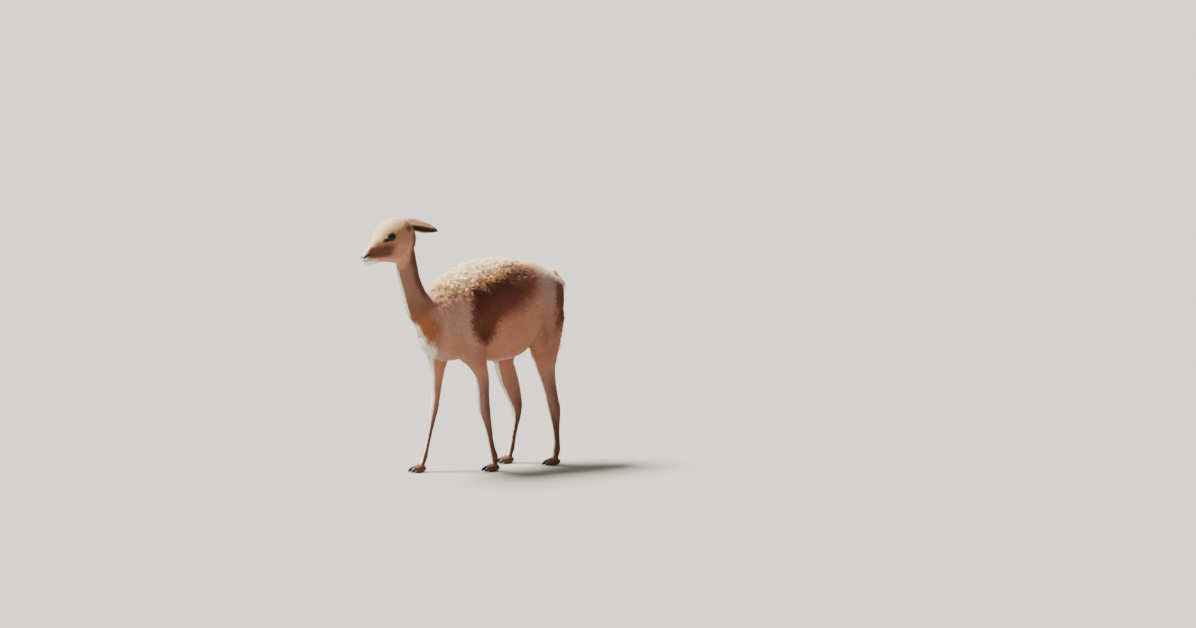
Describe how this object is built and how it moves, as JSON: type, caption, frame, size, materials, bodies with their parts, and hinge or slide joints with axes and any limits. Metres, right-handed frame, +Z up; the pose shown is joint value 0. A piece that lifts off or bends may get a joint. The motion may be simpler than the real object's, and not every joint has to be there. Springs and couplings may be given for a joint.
{
  "type": "standing vicuna model",
  "caption": "Life-size still model of a slender woolly vicuna standing in mid-step, long neck upright, ears laid back, narrow two-toed feet flat on the floor.",
  "frame": {"origin": "on the floor under the middle of the animal's box", "axes": "-X is where the animal faces, +Y is its right side, +Z is up"},
  "size_m": [0.9932, 0.2803, 1.0976],
  "materials": {
    "coat_saddle": "woolly coat, cinnamon saddle shading to pale flanks",
    "coat_neck": "short reddish cinnamon coat with a pale throat",
    "coat_head": "short fawn coat",
    "coat_pale": "short whitish coat",
    "coat_tail": "long dark cinnamon hair",
    "coat_ear": "thin ears with short fawn hair",
    "coat_legs": "short pale fawn hair",
    "eye_dark": "wet dark brown",
    "nail_horn": "smooth dark horn"
  },
  "bodies": {
    "root": {"torso": "coat_saddle", "neck": "coat_neck", "head": "coat_head", "lower_jaw": "coat_pale", "left_ear": "coat_ear", "right_ear": "coat_ear", "left_eye": "eye_dark", "right_eye": "eye_dark", "tail": "coat_tail", "left_fore_upper_leg": "coat_legs", "left_fore_lower_leg": "coat_legs", "left_fore_foot": "coat_legs", "left_fore_inner_nail": "nail_horn", "left_fore_outer_nail": "nail_horn", "right_fore_upper_leg": "coat_legs", "right_fore_lower_leg": "coat_legs", "right_fore_foot": "coat_legs", "right_fore_inner_nail": "nail_horn", "right_fore_outer_nail": "nail_horn", "left_hind_upper_leg": "coat_legs", "left_hind_lower_leg": "coat_legs", "left_hind_foot": "coat_legs", "left_hind_inner_nail": "nail_horn", "left_hind_outer_nail": "nail_horn", "right_hind_upper_leg": "coat_legs", "right_hind_lower_leg": "coat_legs", "right_hind_foot": "coat_legs", "right_hind_inner_nail": "nail_horn", "right_hind_outer_nail": "nail_horn"}
  },
  "joints": []
}
